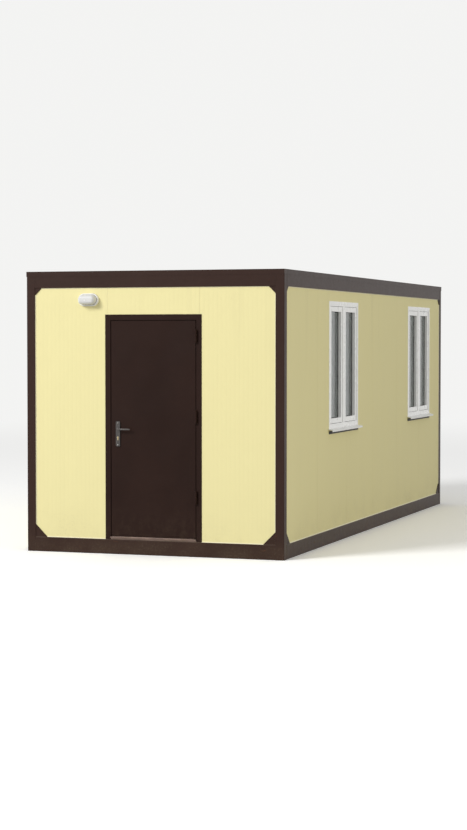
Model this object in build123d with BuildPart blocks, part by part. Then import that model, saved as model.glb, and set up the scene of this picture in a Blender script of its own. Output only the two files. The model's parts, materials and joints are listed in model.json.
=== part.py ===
from build123d import *
import os

# Portable site cabin: a welded frame of square tube, filled with insulated wall panels.
# Millimetres. X to the right, Y from the door wall to the rear wall, Z up.
# The origin is on the ground, in the middle of the underside of the base frame.

# Overall size of the frame
cabin_length = 6000
cabin_width = 2400
wall_height = 2210

# Frame members
post_size = 80
tube_round = 6
base_beam_depth = 130
top_beam_depth = 125
cross_member_count = 9
cross_member_width = 60
lower_gusset_leg = 110
upper_gusset_leg = 60
gusset_thickness = 6

# Floor and roof
floor_thickness = 24
floor_edge_gap = 4
ceiling_thickness = 100
sheet_thickness = 1.5
sheet_rib_height = 20
sheet_rib_pitch = 150
sheet_rib_crown = 35
sheet_rib_base = 65
trim_thickness = 2
trim_skirt = 45
trim_flange = 90
trim_joint = 1

# Wall panels
panel_thickness = 60
panel_recess = 12
panel_joint = 2
side_panel_count = 6
rear_panel_count = 2

# Windows in the right wall, each placed from its own end of the cabin
front_window_inset = 1920
rear_window_inset = 1040
window_width = 980
window_height = 1150
window_head_drop = 115
window_bar = 30
window_mullion = 63
window_trim_width = 15
window_trim_lap = 10
window_trim_thickness = 3
sash_bar = 47
sash_gap = 3
sash_setback = 4
sash_room_lip = 12
sash_overlap = 8
pane_thickness = 24
pane_setback = 30
pane_edge_cover = 12
sill_projection = 45
sill_overhang = 20
sill_thickness = 2
sill_fall = 10
sill_lip = 15

# Door, in the middle of the front wall
door_opening_width = 800
door_opening_height = 1900
threshold_height = 25
threshold_nose = 14
threshold_nose_height = 12
jamb_width = 30
casing_width = 20
casing_thickness = 3
stop_width = 15
leaf_thickness = 50
leaf_gap = 5
lock_side_gap = 8
leaf_proud = 3

# Door hinges, one radius for both halves of the barrel
hinge_heights = (300, 1000, 1700)
hinge_barrel_radius = 10
hinge_barrel_length = 55
hinge_pin_radius = 5
hinge_pin_length = 40
hinge_pin_clearance = 0.25
hinge_bore_spare = 4
hinge_split = 0.5
hinge_axis_standoff = 12
hinge_lug_width = 11

# Door handle
handle_backset = 65
handle_height = 940
plate_width = 40
plate_height = 220
plate_thickness = 8
plate_corner = 10
spindle_radius = 4.5
neck_radius = 9
neck_clearance = 0.3
neck_length = 45
lever_length = 125
lever_thickness = 14
lever_round = 4.5
plate_below_spindle = 150

# Lock cylinder under the lever, with the usual keyhole outline
lock_drop = 72
lock_radius = 8.5
lock_leg_width = 10
lock_leg_length = 19.5
lock_proud = 2
lock_clearance = 0.3

# Bulkhead light beside the head of the door
light_beside_casing = 155
light_below_beam = 105
light_width = 190
light_depth = 112
light_base_thickness = 25
light_base_bevel = 4
light_globe_margin = 12
light_globe_reach = 60
light_globe_round = 38

# Levels and faces that follow from the sizes above
half_length = cabin_length / 2
half_width = cabin_width / 2
wall_bottom = base_beam_depth
wall_top = wall_bottom + wall_height
frame_top = wall_top + top_beam_depth
sheet_top = frame_top + sheet_rib_height
inner_length = half_length - post_size
inner_width = half_width - post_size
panel_face_x = half_width - panel_recess
panel_face_y = half_length - panel_recess
panel_back_x = panel_face_x - panel_thickness
panel_back_y = panel_face_y - panel_thickness

leaf_bottom = wall_bottom + threshold_height + leaf_gap
leaf_height = door_opening_height - 2 * leaf_gap
head_bottom = leaf_bottom + leaf_height + leaf_gap
opening_half_width = door_opening_width / 2
cutout_half_width = opening_half_width + jamb_width
casing_half_width = cutout_half_width + casing_width
cutout_top = head_bottom + jamb_width
door_face_y = -panel_face_y - casing_thickness
leaf_face_y = door_face_y - leaf_proud
leaf_back_y = leaf_face_y + leaf_thickness
leaf_left = -opening_half_width + lock_side_gap
leaf_right = opening_half_width - leaf_gap
hinge_x = opening_half_width
hinge_y = leaf_face_y - hinge_axis_standoff
spindle_x = leaf_left + handle_backset
spindle_z = leaf_bottom + handle_height

os.makedirs("parts", exist_ok=True)


def save(shape, name):
    """Labels a finished piece and writes it as one file."""
    shape.label = name
    export_step(shape, f"parts/{name}.step")


def slab(x_range, y_range, z_range):
    """A plain rectangular piece between three pairs of limits."""
    with BuildPart() as piece:
        with BuildSketch(Plane.XY.offset(z_range[0])):
            with Locations(((x_range[0] + x_range[1]) / 2, (y_range[0] + y_range[1]) / 2)):
                Rectangle(x_range[1] - x_range[0], y_range[1] - y_range[0])
        extrude(amount=z_range[1] - z_range[0])
    return piece.part


def beam(x_range, y_range, z_range, axis):
    """A straight length of tube with rounded edges, running along one axis."""
    blank = slab(x_range, y_range, z_range)
    with BuildPart() as piece:
        add(blank)
        fillet(piece.edges().filter_by(axis), radius=tube_round)
    return piece.part


# Base frame: four beams between the feet of the posts
for name, side in (("base_front_beam", -1), ("base_rear_beam", 1)):
    near, far = sorted((side * half_length, side * inner_length))
    save(beam((-inner_width, inner_width), (near, far), (0, base_beam_depth), Axis.X), name)

side_run = (-inner_length, inner_length)
left_base_beam = beam((-half_width, -inner_width), side_run, (0, base_beam_depth), Axis.Y)
with BuildPart() as base_side_beams:
    add(left_base_beam)
    mirror(about=Plane.YZ)
save(base_side_beams.part, "base_side_beams")

# Cross members under the floor, with one on the centre line
cross_member_pitch = 2 * inner_length / (cross_member_count + 1)
with BuildPart() as base_cross_members:
    with BuildSketch():
        with GridLocations(0, cross_member_pitch, 1, cross_member_count):
            Rectangle(2 * inner_width, cross_member_width)
    extrude(amount=base_beam_depth)
save(base_cross_members.part, "base_cross_members")

# Floor deck, on the beams and cross members inside the walls, notched round the posts
deck_half_width = panel_back_x - floor_edge_gap
deck_half_length = panel_back_y - floor_edge_gap
notch_size = (
    2 * (deck_half_width - inner_width + floor_edge_gap),
    2 * (deck_half_length - inner_length + floor_edge_gap),
)
with BuildPart() as floor_deck:
    with BuildSketch(Plane.XY.offset(wall_bottom)):
        Rectangle(2 * deck_half_width, 2 * deck_half_length)
        with GridLocations(2 * deck_half_width, 2 * deck_half_length, 2, 2):
            Rectangle(*notch_size, mode=Mode.SUBTRACT)
    extrude(amount=floor_thickness)
save(floor_deck.part, "floor_deck")

# Corner posts, from the ground to the top of the frame
for end_name, end in (("front", -1), ("rear", 1)):
    for side_name, side in (("left", -1), ("right", 1)):
        x_range = sorted((side * half_width, side * inner_width))
        y_range = sorted((end * half_length, end * inner_length))
        save(beam(x_range, y_range, (0, frame_top), Axis.Z), f"{end_name}_{side_name}_post")

# Top frame: four beams between the heads of the posts
for name, side in (("top_front_beam", -1), ("top_rear_beam", 1)):
    near, far = sorted((side * half_length, side * inner_length))
    save(beam((-inner_width, inner_width), (near, far), (wall_top, frame_top), Axis.X), name)

left_top_beam = beam((-half_width, -inner_width), side_run, (wall_top, frame_top), Axis.Y)
with BuildPart() as top_side_beams:
    add(left_top_beam)
    mirror(about=Plane.YZ)
save(top_side_beams.part, "top_side_beams")

# Insulated ceiling panel, held between the top beams
save(
    slab(
        (-inner_width, inner_width),
        (-inner_length, inner_length),
        (frame_top - ceiling_thickness, frame_top),
    ),
    "ceiling_panel",
)

# Trapezoidal roof sheet, with its ribs running across the cabin
rib_count = int((cabin_length - sheet_rib_base) // sheet_rib_pitch)
first_rib = -(rib_count - 1) * sheet_rib_pitch / 2
upper_line = [(-half_length, sheet_thickness)]
lower_line = [(-half_length, 0)]
for index in range(rib_count):
    rib = first_rib + index * sheet_rib_pitch
    foot, crown = sheet_rib_base / 2, sheet_rib_crown / 2
    upper_line += [
        (rib - foot - sheet_thickness / 2, sheet_thickness),
        (rib - crown - sheet_thickness / 2, sheet_rib_height),
        (rib + crown + sheet_thickness / 2, sheet_rib_height),
        (rib + foot + sheet_thickness / 2, sheet_thickness),
    ]
    lower_line += [
        (rib - foot + sheet_thickness / 2, 0),
        (rib - crown + sheet_thickness / 2, sheet_rib_height - sheet_thickness),
        (rib + crown - sheet_thickness / 2, sheet_rib_height - sheet_thickness),
        (rib + foot - sheet_thickness / 2, 0),
    ]
upper_line.append((half_length, sheet_thickness))
lower_line.append((half_length, 0))

with BuildPart() as roof_sheet:
    with BuildSketch(Plane.YZ.offset(-half_width)):
        with BuildLine():
            Polyline(*upper_line, *reversed(lower_line), close=True)
        make_face()
    extrude(amount=cabin_width)
save(roof_sheet.part.moved(Location((0, 0, frame_top))), "roof_sheet")


def trim_strip(run, reach):
    """An angle of folded sheet along X: a skirt over the beam and a flange over the roof sheet."""
    with BuildPart() as strip:
        with BuildSketch(Plane.YZ.offset(-run / 2)):
            with BuildLine():
                Polyline(
                    (-reach - trim_thickness, sheet_top + trim_thickness),
                    (-reach - trim_thickness, sheet_top + trim_thickness - trim_skirt),
                    (-reach, sheet_top + trim_thickness - trim_skirt),
                    (-reach, sheet_top),
                    (-reach + trim_flange, sheet_top),
                    (-reach + trim_flange, sheet_top + trim_thickness),
                    close=True,
                )
            make_face()
        extrude(amount=run)
    return strip.part


# Folded edge trim: the end strips run the full width, the side strips fit between their flanges
end_strip = trim_strip(cabin_width + 2 * trim_thickness, half_length)
side_strip = trim_strip(cabin_length - 2 * (trim_flange + trim_joint), half_width)
with BuildPart() as roof_edge_trim:
    for strip, turns in ((end_strip, (0, 180)), (side_strip, (90, 270))):
        for turn in turns:
            add(strip.moved(Rotation(0, 0, turn)))
save(roof_edge_trim.part, "roof_edge_trim")


def gusset(leg):
    """A right-angled corner plate in the XZ plane, with its square corner at the origin."""
    with BuildPart() as plate:
        with BuildSketch(Plane.XZ):
            with BuildLine():
                Polyline((0, 0), (leg, 0), (0, leg), close=True)
            make_face()
        extrude(amount=-gusset_thickness)
    return plate.part


# Corner plates lie on the panels, large at the foot of each corner and small at its head
lower_plate = gusset(lower_gusset_leg)
upper_plate = mirror(gusset(upper_gusset_leg), about=Plane.XY)
gusset_depth = panel_recess - gusset_thickness
with BuildPart() as corner_gussets:
    for plate, level in ((lower_plate, wall_bottom), (upper_plate, wall_top)):
        for turn, run, reach in (
            (0, inner_width, half_length),
            (90, inner_length, half_width),
            (180, inner_width, half_length),
            (270, inner_length, half_width),
        ):
            left = plate.moved(Location((-run, -reach + gusset_depth, level)))
            right = mirror(left, about=Plane.YZ, mode=Mode.PRIVATE)
            add(left.moved(Rotation(0, 0, turn)))
            add(right.moved(Rotation(0, 0, turn)))
save(corner_gussets.part, "corner_gussets")

# Front wall: a panel each side of the door and one over it
front_depth = (-panel_face_y, -panel_back_y)
full_height = (wall_bottom, wall_top)
save(slab((-inner_width, -cutout_half_width), front_depth, full_height), "front_wall_left")
save(slab((cutout_half_width, inner_width), front_depth, full_height), "front_wall_right")
save(
    slab(
        (-cutout_half_width + panel_joint, cutout_half_width - panel_joint),
        front_depth,
        (cutout_top, wall_top),
    ),
    "front_wall_over_door",
)

# Rear wall: upright panels side by side
rear_panel_pitch = 2 * inner_width / rear_panel_count
with BuildPart() as rear_wall_panels:
    with BuildSketch(Plane.XY.offset(wall_bottom)):
        with Locations((0, (panel_face_y + panel_back_y) / 2)):
            with GridLocations(rear_panel_pitch, 0, rear_panel_count, 1):
                Rectangle(rear_panel_pitch - panel_joint, panel_thickness)
    extrude(amount=wall_height)
save(rear_wall_panels.part, "rear_wall_panels")

# Left wall: upright panels with no opening
side_panel_pitch = 2 * inner_length / side_panel_count
with BuildPart() as left_wall_panels:
    with BuildSketch(Plane.XY.offset(wall_bottom)):
        with Locations((-(panel_face_x + panel_back_x) / 2, 0)):
            with GridLocations(0, side_panel_pitch, 1, side_panel_count):
                Rectangle(panel_thickness, side_panel_pitch - panel_joint)
    extrude(amount=wall_height)
save(left_wall_panels.part, "left_wall_panels")

# Right wall: the same panels, with both window openings cut through them
window_middle_z = wall_top - window_head_drop - window_height / 2
window_middles_y = (-half_length + front_window_inset, half_length - rear_window_inset)
for index in range(side_panel_count):
    panel_start = -inner_length + index * side_panel_pitch
    blank = slab(
        (panel_back_x, panel_face_x),
        (panel_start + panel_joint / 2, panel_start + side_panel_pitch - panel_joint / 2),
        full_height,
    )
    with BuildPart() as right_wall_panel:
        add(blank)
        for middle_y in window_middles_y:
            with Locations(((panel_face_x + panel_back_x) / 2, middle_y, window_middle_z)):
                Box(panel_thickness, window_width, window_height, mode=Mode.SUBTRACT)
    save(right_wall_panel.part, f"right_wall_panel_{index + 1}")


def ring(width, height, bar, start, depth):
    """An upright rectangular ring seen along X, from one X level inwards."""
    with BuildPart() as hoop:
        with BuildSketch(Plane.YZ.offset(start)):
            Rectangle(width, height)
            Rectangle(width - 2 * bar, height - 2 * bar, mode=Mode.SUBTRACT)
        extrude(amount=-depth)
    return hoop.part


# Windows: a frame with a mullion, two sashes, two sealed panes and a drip sill each
light_width_each = (window_width - 2 * window_bar - window_mullion) / 2
light_height_each = window_height - 2 * window_bar
light_pitch = light_width_each + window_mullion
sash_width = light_width_each - 2 * sash_gap
sash_height = light_height_each - 2 * sash_gap
sash_face_x = panel_face_x - sash_setback
sash_lap = sash_gap + sash_overlap

pane_width = sash_width - 2 * (sash_bar - pane_edge_cover)
pane_height = sash_height - 2 * (sash_bar - pane_edge_cover)
pane_face_x = sash_face_x - pane_setback
sash_places = ((0, -light_pitch / 2, 0), (0, light_pitch / 2, 0))

window_rim = ring(window_width, window_height, window_bar, panel_face_x, panel_thickness)
window_trim = ring(
    window_width + 2 * window_trim_width,
    window_height + 2 * window_trim_width,
    window_trim_width + window_trim_lap,
    panel_face_x + window_trim_thickness,
    window_trim_thickness,
)
with BuildPart() as window_frame:
    add(window_rim)
    add(window_trim)
    with BuildSketch(Plane.YZ.offset(panel_face_x)):
        Rectangle(window_mullion, light_height_each)
    extrude(amount=-panel_thickness)

sash_body = ring(sash_width, sash_height, sash_bar, sash_face_x, panel_thickness - sash_setback)
sash_lip = ring(
    sash_width + 2 * sash_lap,
    sash_height + 2 * sash_lap,
    sash_bar + sash_lap,
    panel_back_x,
    sash_room_lip,
)
pane_pocket = ring(pane_width, pane_height, pane_edge_cover, pane_face_x, pane_thickness)
with BuildPart() as window_sashes:
    with Locations(*sash_places):
        add(sash_body)
        add(sash_lip)
        add(pane_pocket, mode=Mode.SUBTRACT)

with BuildPart() as window_panes:
    with BuildSketch(Plane.YZ.offset(pane_face_x)):
        with GridLocations(light_pitch, 0, 2, 1):
            Rectangle(pane_width, pane_height)
    extrude(amount=-pane_thickness)

sill_top = -window_height / 2 - window_trim_width
sill_nose_x = panel_face_x + sill_projection
sill_run = window_width + 2 * (window_trim_width + sill_overhang)
with BuildPart() as window_sill:
    with BuildSketch(Plane.XZ.offset(-sill_run / 2)):
        with BuildLine():
            Polyline(
                (panel_face_x, sill_top),
                (sill_nose_x, sill_top - sill_fall),
                (sill_nose_x, sill_top - sill_fall - sill_lip),
                (sill_nose_x - sill_thickness, sill_top - sill_fall - sill_lip),
                (sill_nose_x - sill_thickness, sill_top - sill_fall - sill_thickness),
                (panel_face_x, sill_top - sill_thickness),
                close=True,
            )
        make_face()
    extrude(amount=sill_run)

for name, middle_y in zip(("front_window", "rear_window"), window_middles_y):
    middle = Location((0, middle_y, window_middle_z))
    save(window_frame.part.moved(middle), f"{name}_frame")
    save(window_sashes.part.moved(middle), f"{name}_sashes")
    save(window_panes.part.moved(middle), f"{name}_panes")
    save(window_sill.part.moved(middle), f"{name}_sill")


def portal(outer, inner, y_range):
    """Two uprights and a head on the base beam, between an outer and an inner outline, each
    given by its half width and its top."""
    with BuildPart() as surround:
        with BuildSketch(Plane.XZ.offset(-y_range[0])):
            for (half_span, top), mode in ((outer, Mode.ADD), (inner, Mode.SUBTRACT)):
                with Locations((0, (wall_bottom + top) / 2)):
                    Rectangle(2 * half_span, top - wall_bottom, mode=mode)
        extrude(amount=y_range[0] - y_range[1])
    return surround.part


# Door frame: jambs and head through the wall, a casing on its face and a stop behind the leaf
stop_front = leaf_back_y + leaf_gap
jamb_back = -panel_back_y
jambs = portal(
    (cutout_half_width, cutout_top),
    (opening_half_width, head_bottom),
    (door_face_y, jamb_back),
)
casing = portal(
    (casing_half_width, cutout_top + casing_width),
    (opening_half_width, head_bottom),
    (door_face_y, door_face_y + casing_thickness),
)
stop = portal(
    (cutout_half_width, cutout_top),
    (opening_half_width - stop_width, head_bottom - stop_width),
    (stop_front, jamb_back),
)
with BuildPart() as door_frame:
    add(jambs)
    add(casing)
    add(stop)
save(door_frame.part, "door_frame")

# Threshold plate between the jambs and the stops, with a nose under the foot of the leaf
with BuildPart() as door_threshold:
    with BuildSketch(Plane.XY.offset(wall_bottom)):
        with Locations((0, (door_face_y + stop_front) / 2)):
            Rectangle(door_opening_width, stop_front - door_face_y)
        with Locations((0, (stop_front + jamb_back) / 2)):
            Rectangle(door_opening_width - 2 * stop_width, jamb_back - stop_front)
    extrude(amount=threshold_height)
    with BuildSketch(Plane.XY.offset(wall_bottom + threshold_height)):
        with Locations((0, door_face_y - threshold_nose / 2)):
            Rectangle(door_opening_width, threshold_nose)
    extrude(amount=-threshold_nose_height)
save(door_threshold.part, "door_threshold")


def lock_outline(face, spare):
    """The keyhole outline of the lock cylinder on a plane seen along Y, with some spare width."""
    lock_z = spindle_z - lock_drop
    with BuildSketch(Plane.XZ.offset(-face)) as outline:
        with Locations((spindle_x, lock_z)):
            Circle(lock_radius + spare)
        with Locations((spindle_x, lock_z - lock_leg_length / 2)):
            Rectangle(lock_leg_width + 2 * spare, lock_leg_length)
        with Locations((spindle_x, lock_z - lock_leg_length)):
            Circle(lock_leg_width / 2 + spare)
    return outline.sketch


lock_front = leaf_face_y - plate_thickness - lock_proud
lock_run = leaf_thickness + 2 * (plate_thickness + lock_proud)
lock_profile = lock_outline(lock_front, 0)
lock_hole_profile = lock_outline(lock_front, lock_clearance)

# Door leaf, with a round hole for the spindle and a shaped one for the lock cylinder
leaf_blank = slab(
    (leaf_left, leaf_right), (leaf_face_y, leaf_back_y), (leaf_bottom, leaf_bottom + leaf_height)
)
with BuildPart() as door_leaf:
    add(leaf_blank)
    with Locations(Plane.XZ.offset(-leaf_face_y)):
        with Locations((spindle_x, spindle_z)):
            Hole(radius=neck_radius + neck_clearance)
    extrude(lock_hole_profile, amount=-lock_run, mode=Mode.SUBTRACT)
save(door_leaf.part, "door_leaf")

with BuildPart() as door_lock_cylinder:
    extrude(lock_profile, amount=-lock_run)
save(door_lock_cylinder.part, "door_lock_cylinder")

# Hinges: the lower barrel and its pin are on the frame, the upper barrel is on the leaf
barrel_centre = (hinge_x, hinge_y)
with BuildPart() as door_hinge_pins:
    for height in hinge_heights:
        level = leaf_bottom + height
        with BuildSketch(Plane.XY.offset(level)):
            with Locations(barrel_centre):
                Circle(hinge_barrel_radius)
            with Locations((hinge_x + hinge_lug_width / 2, (hinge_y + door_face_y) / 2)):
                Rectangle(hinge_lug_width, door_face_y - hinge_y)
        extrude(amount=hinge_barrel_length)
        with BuildSketch(Plane.XY.offset(level + hinge_barrel_length)):
            with Locations(barrel_centre):
                Circle(hinge_pin_radius)
        extrude(amount=hinge_pin_length)
save(door_hinge_pins.part, "door_hinge_pins")

with BuildPart() as door_hinge_knuckles:
    for height in hinge_heights:
        level = leaf_bottom + height + hinge_barrel_length + hinge_split
        with BuildSketch(Plane.XY.offset(level)):
            with Locations(barrel_centre):
                Circle(hinge_barrel_radius)
            with Locations(
                (hinge_x - leaf_gap - hinge_lug_width / 2, (hinge_y + leaf_face_y) / 2)
            ):
                Rectangle(hinge_lug_width, leaf_face_y - hinge_y)
        extrude(amount=hinge_barrel_length)
        with BuildSketch(Plane.XY.offset(level)):
            with Locations(barrel_centre):
                Circle(hinge_pin_radius + hinge_pin_clearance)
        extrude(amount=hinge_pin_length + hinge_bore_spare, mode=Mode.SUBTRACT)
save(door_hinge_knuckles.part, "door_hinge_knuckles")

# Handle plates on both faces of the leaf
with BuildPart() as door_handle_plates:
    plate_centre = (spindle_x, spindle_z + plate_height / 2 - plate_below_spindle)
    for face, outward in ((leaf_face_y, 1), (leaf_back_y, -1)):
        with BuildSketch(Plane.XZ.offset(-face)):
            with Locations(plate_centre):
                RectangleRounded(plate_width, plate_height, plate_corner)
            with Locations((spindle_x, spindle_z)):
                Circle(neck_radius + neck_clearance, mode=Mode.SUBTRACT)
        extrude(amount=outward * plate_thickness)
    extrude(lock_hole_profile, amount=-lock_run, mode=Mode.SUBTRACT)
save(door_handle_plates.part, "door_handle_plates")

# Levers: one spindle through the leaf, with a neck and a grip on each side
with BuildPart() as door_levers:
    with BuildSketch(Plane.XZ.offset(-leaf_face_y)):
        with Locations((spindle_x, spindle_z)):
            Circle(spindle_radius)
    extrude(amount=-leaf_thickness)
    for face, outward in ((leaf_face_y, 1), (leaf_back_y, -1)):
        grip_y = face - outward * (neck_length - lever_thickness / 2)
        with BuildSketch(Plane.XZ.offset(-face)):
            with Locations((spindle_x, spindle_z)):
                Circle(neck_radius)
        extrude(amount=outward * neck_length)
        with BuildSketch(Plane.YZ.offset(spindle_x)):
            with Locations((grip_y, spindle_z)):
                RectangleRounded(lever_thickness, 2 * neck_radius, lever_round)
        extrude(amount=lever_length)
save(door_levers.part, "door_levers")

# Bulkhead light: a flat base on the wall panel and a rounded globe on the base
globe_width = light_width - 2 * light_globe_margin
globe_depth = light_depth - 2 * light_globe_margin
light_middle = (-casing_half_width - light_beside_casing, wall_top - light_below_beam)
with BuildPart() as light_base:
    with BuildSketch(Plane.XZ.offset(panel_face_y)):
        with Locations(light_middle):
            SlotOverall(light_width, light_depth)
    extrude(amount=light_base_thickness)
    chamfer(light_base.edges().group_by(Axis.Y)[0], length=light_base_bevel)
save(light_base.part, "light_base")

with BuildPart() as light_globe:
    with BuildSketch(Plane.XZ.offset(panel_face_y + light_base_thickness)):
        with Locations(light_middle):
            SlotOverall(globe_width, globe_depth)
    extrude(amount=light_globe_reach)
    fillet(light_globe.edges().group_by(Axis.Y)[0], radius=light_globe_round)
save(light_globe.part, "light_globe")
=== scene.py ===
"""Finish of a portable site cabin: paint, sheet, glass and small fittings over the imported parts.

Everything is in metres in the frame of the parts: +Z is up, the door wall faces -Y and the windows
are in the +X wall. Each operator finishes one group of pieces, and main() calls them in order.
"""

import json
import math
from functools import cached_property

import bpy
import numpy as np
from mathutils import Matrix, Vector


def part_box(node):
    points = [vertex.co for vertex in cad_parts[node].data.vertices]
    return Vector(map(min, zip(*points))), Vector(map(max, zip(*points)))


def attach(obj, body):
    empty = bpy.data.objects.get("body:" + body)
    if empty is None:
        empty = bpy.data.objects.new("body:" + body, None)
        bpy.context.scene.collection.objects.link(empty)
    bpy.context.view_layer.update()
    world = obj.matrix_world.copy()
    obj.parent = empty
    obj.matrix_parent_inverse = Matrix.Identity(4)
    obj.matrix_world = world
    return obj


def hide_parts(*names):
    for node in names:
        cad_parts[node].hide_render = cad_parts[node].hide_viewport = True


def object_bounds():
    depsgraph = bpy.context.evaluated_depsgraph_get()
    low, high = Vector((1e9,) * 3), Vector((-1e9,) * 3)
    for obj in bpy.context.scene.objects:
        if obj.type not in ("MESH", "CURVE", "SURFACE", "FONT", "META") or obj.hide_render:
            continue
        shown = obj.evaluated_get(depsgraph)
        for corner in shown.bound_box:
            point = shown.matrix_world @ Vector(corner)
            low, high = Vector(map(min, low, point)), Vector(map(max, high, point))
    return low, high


bl_info = {
    "name": "Site Cabin Finish",
    "version": (1, 0, 0),
    "blender": (4, 5, 0),
    "location": "3D View > Sidebar > Site Cabin",
    "description": "Finishes the parts of a portable site cabin and sets up its studio",
    "category": "Object",
}

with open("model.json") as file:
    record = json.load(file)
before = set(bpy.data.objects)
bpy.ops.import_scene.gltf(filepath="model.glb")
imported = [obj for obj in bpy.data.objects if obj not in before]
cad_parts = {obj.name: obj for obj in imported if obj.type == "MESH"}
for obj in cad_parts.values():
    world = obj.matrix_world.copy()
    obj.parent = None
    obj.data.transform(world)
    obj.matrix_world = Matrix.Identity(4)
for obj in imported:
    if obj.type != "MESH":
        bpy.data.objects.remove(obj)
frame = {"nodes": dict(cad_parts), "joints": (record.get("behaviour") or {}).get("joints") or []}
CAD_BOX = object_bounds()

# Axes of the frame as arrays
X, Y, Z = np.eye(3)


def levels(node, axis):
    """The separate levels of a node's corners along an axis (0, 1 or 2), from low to high."""
    mesh = frame["nodes"][node].data
    corners = np.empty(len(mesh.vertices) * 3, np.float32)
    mesh.vertices.foreach_get("co", corners)
    found = np.unique(np.round(corners.reshape(-1, 3)[:, axis].astype(float), 5))
    return found.tolist()


# Places of the frame and walls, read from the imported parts
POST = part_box("front_right_post")
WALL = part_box("right_wall_panel_4")
FRONT_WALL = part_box("front_wall_right")
HALF_WIDTH, HALF_LENGTH = POST[1].x, -POST[0].y
INNER_WIDTH, INNER_LENGTH = POST[0].x, -POST[1].y
WALL_BOTTOM, WALL_TOP = WALL[0].z, WALL[1].z
SIDE_FACE, SIDE_BACK = WALL[1].x, WALL[0].x
END_FACE, END_BACK = -FRONT_WALL[0].y, -FRONT_WALL[1].y
FRAME_TOP = POST[1].z
FLOOR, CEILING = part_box("floor_deck")[1].z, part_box("ceiling_panel")[0].z

# Legs of the corner plates at the foot and at the head of each wall
PLATES = levels("corner_gussets", 2)
LOWER_LEG, UPPER_LEG = PLATES[1] - PLATES[0], PLATES[3] - PLATES[2]

# The four corners of the cabin, as signs of X and Y
CORNERS = [(x, y) for x in (-1, 1) for y in (-1, 1)]

# How high a weld bead is for its width
BEAD_FLATNESS = 0.8


class CabinColours(bpy.types.PropertyGroup):
    """Colours of the finishes, in linear light."""

    def colour(name, description, default):
        return bpy.props.FloatVectorProperty(
            name=name, description=description, default=default, size=3, min=0, max=1, subtype="COLOR"
        )

    frame: colour("Frame paint", "Brown paint of the steel frame", (0.029, 0.0122, 0.008))
    door: colour("Door paint", "Dark brown coat of the door leaf", (0.0168, 0.0067, 0.0044))
    wall: colour("Wall coat", "Cream coat of the wall panels", (0.84, 0.765, 0.40))
    inner_wall: colour("Inner coat", "White coat on the room side of the panels", (0.78, 0.78, 0.75))
    window: colour("Window plastic", "White plastic of frames and sashes", (0.92, 0.92, 0.905))
    glass: colour("Glass", "Tint of the window panes", (0.72, 0.80, 0.78))
    sill: colour("Sill coat", "White coat of the drip sills", (0.90, 0.90, 0.885))
    rubber: colour("Rubber", "Black rubber of gaskets and seals", (0.018, 0.018, 0.019))
    sealant: colour("Sealant", "Pale sealant round the walls", (0.80, 0.75, 0.52))
    steel: colour("Handle steel", "Worn plated steel of the handle", (0.075, 0.07, 0.068))
    brass: colour("Lock brass", "Dull brass of the lock cylinder", (0.48, 0.40, 0.24))
    threshold: colour("Threshold", "Scuffed metal of the threshold", (0.165, 0.115, 0.095))
    floor: colour("Floor board", "Brown coated board of the floor", (0.17, 0.095, 0.05))
    roof: colour("Roof zinc", "Weathered zinc of the roof sheet", (0.42, 0.43, 0.43))
    lamp: colour("Light body", "White plastic of the light", (0.90, 0.90, 0.88))
    soil: colour("Soil", "Dry soil splashed on the lower parts", (0.20, 0.15, 0.095))
    rust: colour("Rust", "Rust at chips of the paint and on screws", (0.14, 0.045, 0.015))
    backdrop: colour("Backdrop", "Pale backdrop round the cabin", (0.90, 0.90, 0.89))


class CabinSizes(bpy.types.PropertyGroup):
    """Sizes of the small fittings that the finish adds."""

    def length(name, description, default):
        return bpy.props.FloatProperty(
            name=name, description=description, default=default, min=0.0001, unit="LENGTH", precision=4
        )

    weld_radius: length("Weld radius", "Half width of the weld beads", 0.0042)
    sealant_leg: length("Sealant leg", "Leg of the sealant fillet round a wall", 0.007)
    rib_pitch: length("Panel rib pitch", "Distance between the fine ribs of a panel", 0.04)
    rib_depth: length("Panel rib depth", "Depth of the fine ribs of a panel", 0.0003)
    washer_radius: length("Roof washer radius", "Radius of the washers on the roof", 0.009)
    gasket_width: length("Gasket width", "Visible width of the window gaskets", 0.004)
    plate_screw_radius: length("Plate screw radius", "Radius of the handle plate screws", 0.0042)
    roof_screw_step: bpy.props.IntProperty(
        name="Roof screw step", description="A screw stands in every so many valleys", default=2, min=1
    )


class CabinStage(bpy.types.PropertyGroup):
    """Light, floor and framing of the studio."""

    def number(name, description, default, **limits):
        return bpy.props.FloatProperty(name=name, description=description, default=default, **limits)

    key_light: number("Key light", "Power of the large front lamp", 6300, min=0, unit="POWER")
    fill_light: number("Fill light", "Power of the lamp on the window side", 330, min=0, unit="POWER")
    sky: number("Sky", "Strength of the even light from all round", 0.55, min=0)
    frame_share: number(
        "Frame share", "Share of the picture width that the cabin fills", 0.9, min=0.1, max=1
    )
    floor_bounce: number(
        "Floor bounce", "Share of the light that the floor throws back on the cabin", 0.5, min=0, max=1
    )
    floor_lift: number("Floor lift", "How much paler the floor looks than it lights", 0.64, min=0)
    fade_start: number(
        "Fade start", "Where the floor starts to turn into the backdrop", 5, min=1, unit="LENGTH"
    )
    fade_end: number("Fade end", "Where the floor has turned into the backdrop", 26, min=2, unit="LENGTH")
    floor_radius: number("Floor radius", "Radius of the floor", 120, min=10, unit="LENGTH")


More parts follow.
